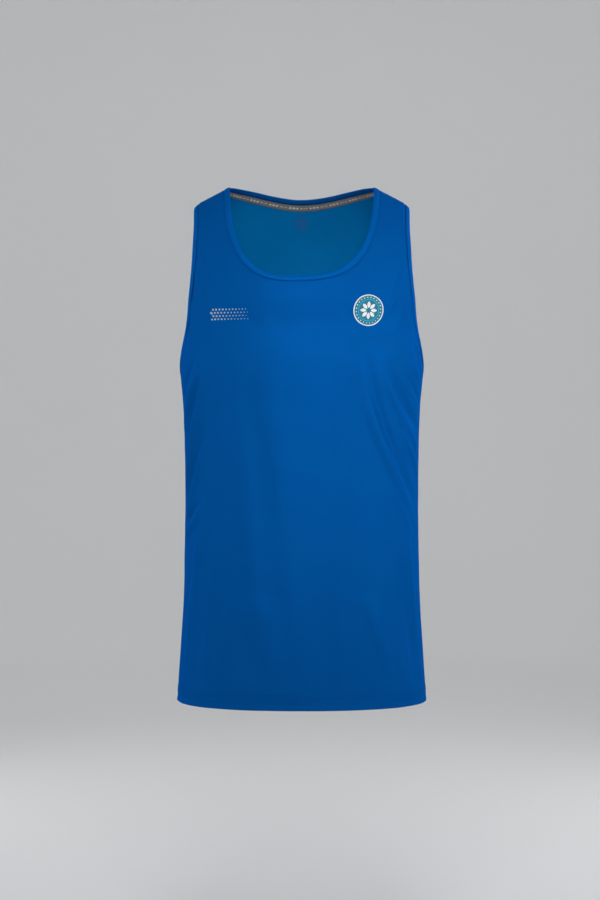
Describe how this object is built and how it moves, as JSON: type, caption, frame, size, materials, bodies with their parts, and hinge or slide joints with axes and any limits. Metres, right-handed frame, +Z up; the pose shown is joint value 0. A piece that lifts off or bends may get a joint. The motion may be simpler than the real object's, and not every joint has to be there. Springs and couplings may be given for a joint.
{
  "type": "running singlet",
  "caption": "Sleeveless running singlet, filled out as when worn, with scooped neck, open armholes and hem, and a grey back neck tape.",
  "frame": {"origin": "midway between the shoulders, at the height of the neck's shoulder points, in the plane of the side and shoulder seams", "axes": "+Z up, -Y out of the garment's front, +X to the wearer's left"},
  "size_m": [0.3508, 0.2492, 0.7242],
  "materials": {
    "panel_knit": "royal blue fine polyester knit with a soft sheen",
    "binding_knit": "royal blue knit binding",
    "grey_tape": "grey woven tape with a small pale pattern"
  },
  "bodies": {
    "root": {"front": "panel_knit", "back": "panel_knit", "neck_band": "binding_knit", "armhole_band_left": "binding_knit", "armhole_band_right": "binding_knit", "neck_tape": "grey_tape"}
  },
  "joints": []
}
